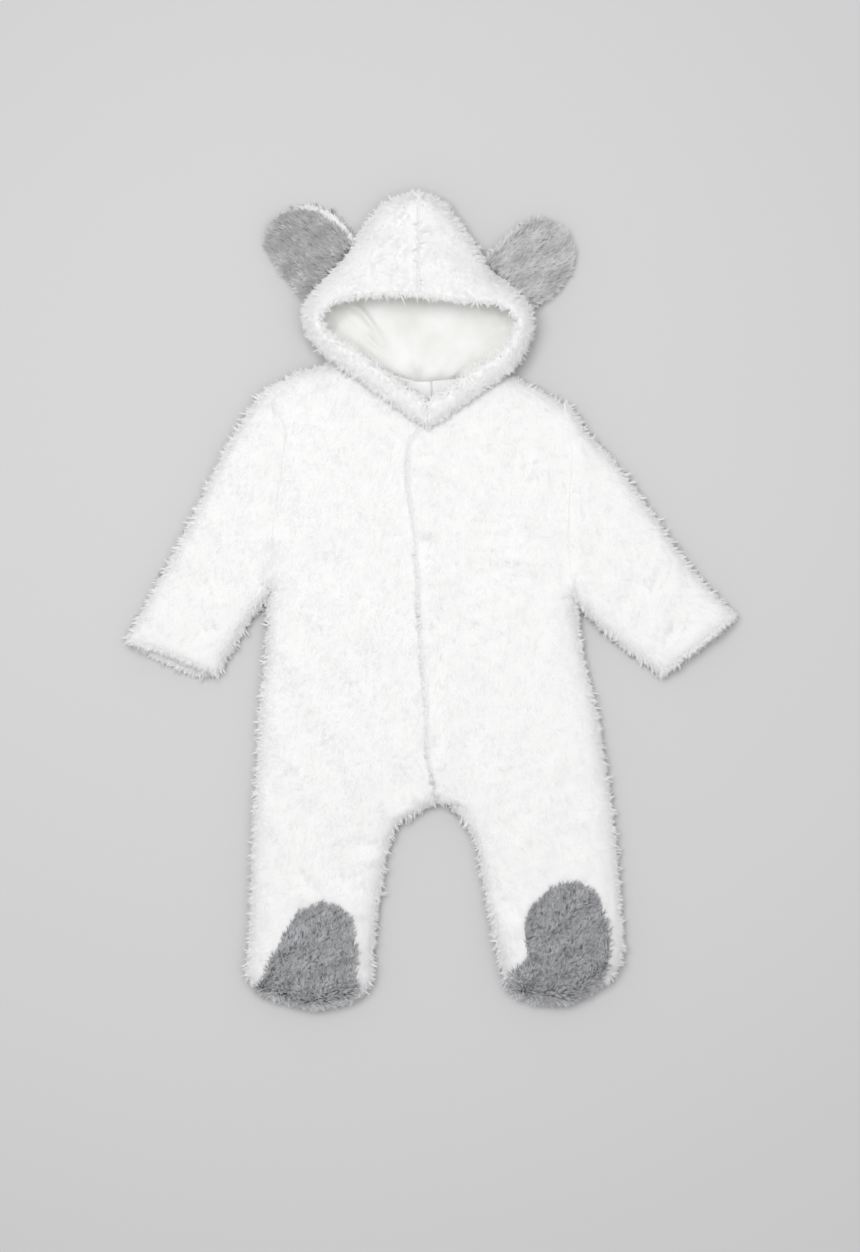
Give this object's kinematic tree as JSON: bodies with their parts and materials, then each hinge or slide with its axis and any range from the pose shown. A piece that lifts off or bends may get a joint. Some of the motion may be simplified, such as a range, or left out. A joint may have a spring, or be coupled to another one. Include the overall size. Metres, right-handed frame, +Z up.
{
  "type": "baby sleepsuit",
  "caption": "Hooded baby sleepsuit in white long-pile plush with ears, grey foot tops and soles, a lapped front and a cotton-lined hood, laid flat on its back",
  "frame": {"origin": "The middle of the suit's footprint, on the surface that it lies on", "axes": "+X to the wearer's left sleeve, +Y from the feet to the hood, +Z up through the suit from its back to its front"},
  "size_m": [0.5596, 0.7488, 0.043],
  "materials": {
    "white_plush": "long-pile plush",
    "grey_plush": "long-pile plush",
    "lining_cotton": "smooth cotton jersey",
    "label_tape": "satin tape"
  },
  "bodies": {
    "root": {"back": "white_plush", "front_right": "white_plush", "front_left": "white_plush", "sleeve_right": "white_plush", "sleeve_left": "white_plush", "hood_right": "white_plush", "hood_left": "white_plush", "hood_lining": "lining_cotton", "label": "label_tape", "ear_front_right": "grey_plush", "ear_front_left": "grey_plush", "ear_back_right": "white_plush", "ear_back_left": "white_plush", "foot_top_right": "grey_plush", "foot_top_left": "grey_plush", "sole_right": "grey_plush", "sole_left": "grey_plush"}
  },
  "joints": []
}
